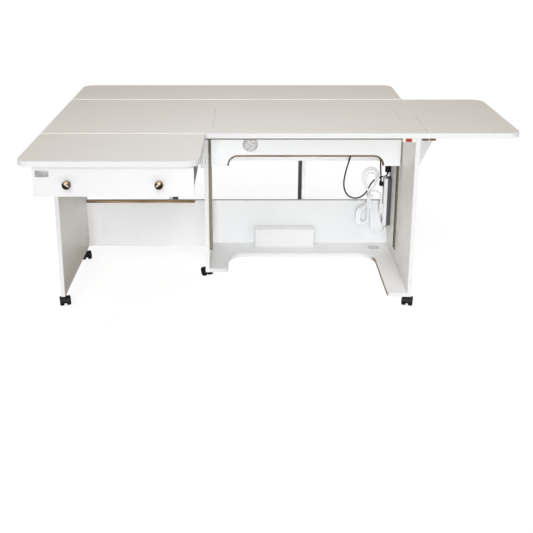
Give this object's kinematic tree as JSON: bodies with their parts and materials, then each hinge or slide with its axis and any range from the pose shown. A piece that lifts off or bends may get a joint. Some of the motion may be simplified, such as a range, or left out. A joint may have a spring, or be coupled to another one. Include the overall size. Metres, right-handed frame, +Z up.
{
  "type": "sewing cabinet",
  "caption": "Sewing cabinet on casters, opened out: lift platform, fold-over leaves on swing-out supports, drawer pulled out, low shelf, and power lead tied in a hank.",
  "frame": {"origin": "on the floor under the middle of the opened outline", "axes": "+X to the right as seen by the person sitting at it, +Y to the rear, +Z up"},
  "size_m": [1.9812, 1.5122, 0.7818],
  "materials": {
    "top_board": "warm grey melamine-faced board",
    "white_board": "white melamine-faced board",
    "grey_board": "dark grey board",
    "raw_wood": "raw wood",
    "dark_rail": "dark grey coated steel",
    "steel": "plain zinc-plated steel",
    "white_metal": "satin white paint",
    "dark_nickel": "dark brushed nickel",
    "silver_disc": "brushed",
    "black_plastic": "matte black",
    "white_plastic": "satin white",
    "cream_plastic": "cream",
    "red_plastic": "red",
    "black_rubber": "black tread",
    "white_cord": "soft white sheath",
    "black_cord": "soft black sheath"
  },
  "bodies": {
    "cabinet": {"main_top": "top_board", "left_panel": "white_board", "middle_panel": "white_board", "right_panel": "white_board", "rear_rail": "white_board", "modesty_panel": "white_board", "rear_batten": "raw_wood", "shelf": "white_board", "supply_box": "white_plastic", "cable_grommet": "white_plastic", "lift_rails": "dark_rail", "drawer_rails": "steel", "leaf_hinge_plates": "white_metal", "swing_hinge_plates": "steel", "switch_housing": "cream_plastic", "control_box": "black_plastic", "power_strip": "white_plastic", "lift_connector": "black_plastic", "mains_lead": "white_cord", "mains_hank": "white_cord", "hank_tie": "white_plastic", "plug_lead": "white_cord", "mains_plug": "white_plastic", "lift_cable": "black_cord", "switch_cable": "black_cord", "switch_plug": "black_plastic"},
    "front_leaf": {"front_leaf": "top_board", "front_leaf_hinge": "white_metal"},
    "right_leaf": {"right_leaf": "top_board", "right_leaf_hinge": "white_metal"},
    "rear_leaf": {"rear_leaf": "top_board", "rear_leaf_hinge": "white_metal"},
    "drawer": {"drawer_front": "white_board", "drawer_walls": "grey_board", "drawer_bottom": "grey_board", "drawer_knobs": "dark_nickel", "drawer_runners": "steel"},
    "lift": {"lift_platform": "top_board", "lift_apron": "white_board", "lift_shoes": "black_plastic", "lift_badge": "silver_disc"},
    "gate_left": {"gate_left": "white_board", "gate_left_fittings": "steel"},
    "gate_right": {"gate_right": "white_board", "gate_right_fittings": "steel"},
    "side_bracket": {"side_bracket": "white_board", "side_bracket_hinge": "steel"},
    "switch_rocker": {"switch_rocker": "red_plastic"},
    "caster_left_front": {"caster_left_front_hood": "black_plastic"},
    "caster_left_front_roll": {"caster_left_front_wheels": "black_rubber"},
    "caster_left_rear": {"caster_left_rear_hood": "black_plastic"},
    "caster_left_rear_roll": {"caster_left_rear_wheels": "black_rubber"},
    "caster_middle_front": {"caster_middle_front_hood": "black_plastic"},
    "caster_middle_front_roll": {"caster_middle_front_wheels": "black_rubber"},
    "caster_middle_rear": {"caster_middle_rear_hood": "black_plastic"},
    "caster_middle_rear_roll": {"caster_middle_rear_wheels": "black_rubber"},
    "caster_right_front": {"caster_right_front_hood": "black_plastic"},
    "caster_right_front_roll": {"caster_right_front_wheels": "black_rubber"},
    "caster_right_rear": {"caster_right_rear_hood": "black_plastic"},
    "caster_right_rear_roll": {"caster_right_rear_wheels": "black_rubber"}
  },
  "joints": [
    {"name": "front_leaf_fold", "type": "hinge", "parent": "cabinet", "child": "front_leaf", "pos_m": [-0.65, -0.3092, 0.7803], "axis": [-1, 0, 0], "range_deg": [0, 180]},
    {"name": "right_leaf_fold", "type": "hinge", "parent": "cabinet", "child": "right_leaf", "pos_m": [0.6085, 0.03, 0.7803], "axis": [0, -1, 0], "range_deg": [0, 180]},
    {"name": "rear_leaf_fold", "type": "hinge", "parent": "cabinet", "child": "rear_leaf", "pos_m": [-0.19, 0.383, 0.7803], "axis": [-1, 0, 0], "range_deg": [-180, 0]},
    {"name": "drawer_slide", "type": "slide", "parent": "cabinet", "child": "drawer", "axis": [0, 1, 0], "range_m": [0, 0.422]},
    {"name": "lift_slide", "type": "slide", "parent": "cabinet", "child": "lift", "axis": [0, 0, 1], "range_m": [-0.4, 0]},
    {"name": "gate_left_swing", "type": "hinge", "parent": "cabinet", "child": "gate_left", "pos_m": [-0.5336, 0.3449, 0.4], "axis": [0, 0, 1], "range_deg": [0, 90]},
    {"name": "gate_right_swing", "type": "hinge", "parent": "cabinet", "child": "gate_right", "pos_m": [0.1504, 0.3449, 0.4], "axis": [0, 0, -1], "range_deg": [0, 90]},
    {"name": "side_bracket_swing", "type": "hinge", "parent": "cabinet", "child": "side_bracket", "pos_m": [0.5794, 0.0499, 0.585], "axis": [0, 0, 1], "range_deg": [0, 90]},
    {"name": "switch_tilt", "type": "hinge", "parent": "cabinet", "child": "switch_rocker", "pos_m": [0.52678, -0.2979, 0.75], "axis": [0, 0, 1], "range_deg": [0, 16]},
    {"name": "caster_left_front_swivel", "type": "hinge", "parent": "cabinet", "child": "caster_left_front", "pos_m": [-0.9436, -0.2691, 0.047], "axis": [0, 0, 1], "continuous": true},
    {"name": "caster_left_front_roll", "type": "hinge", "parent": "caster_left_front", "child": "caster_left_front_roll", "pos_m": [-0.93896, -0.28337, 0.0205], "axis": [0.9511, 0.309, 0], "continuous": true},
    {"name": "caster_left_rear_swivel", "type": "hinge", "parent": "cabinet", "child": "caster_left_rear", "pos_m": [-0.9436, 0.2759, 0.047], "axis": [0, 0, 1], "continuous": true},
    {"name": "caster_left_rear_roll", "type": "hinge", "parent": "caster_left_rear", "child": "caster_left_rear_roll", "pos_m": [-0.93896, 0.26163, 0.0205], "axis": [0.9511, 0.309, 0], "continuous": true},
    {"name": "caster_middle_front_swivel", "type": "hinge", "parent": "cabinet", "child": "caster_middle_front", "pos_m": [-0.3251, 0.0449, 0.047], "axis": [0, 0, 1], "continuous": true},
    {"name": "caster_middle_front_roll", "type": "hinge", "parent": "caster_middle_front", "child": "caster_middle_front_roll", "pos_m": [-0.33214, 0.05814, 0.0205], "axis": [-0.8829, -0.4695, 0], "continuous": true},
    {"name": "caster_middle_rear_swivel", "type": "hinge", "parent": "cabinet", "child": "caster_middle_rear", "pos_m": [-0.3251, 0.2759, 0.047], "axis": [0, 0, 1], "continuous": true},
    {"name": "caster_middle_rear_roll", "type": "hinge", "parent": "caster_middle_rear", "child": "caster_middle_rear_roll", "pos_m": [-0.31997, 0.29, 0.0205], "axis": [-0.9397, 0.342, 0], "continuous": true},
    {"name": "caster_right_front_swivel", "type": "hinge", "parent": "cabinet", "child": "caster_right_front", "pos_m": [0.5654, -0.2691, 0.047], "axis": [0, 0, 1], "continuous": true},
    {"name": "caster_right_front_roll", "type": "hinge", "parent": "caster_right_front", "child": "caster_right_front_roll", "pos_m": [0.56076, -0.28337, 0.0205], "axis": [0.9511, -0.309, 0], "continuous": true},
    {"name": "caster_right_rear_swivel", "type": "hinge", "parent": "cabinet", "child": "caster_right_rear", "pos_m": [0.5654, 0.2759, 0.047], "axis": [0, 0, 1], "continuous": true},
    {"name": "caster_right_rear_roll", "type": "hinge", "parent": "caster_right_rear", "child": "caster_right_rear_roll", "pos_m": [0.5513, 0.27077, 0.0205], "axis": [0.342, -0.9397, 0], "continuous": true}
  ]
}
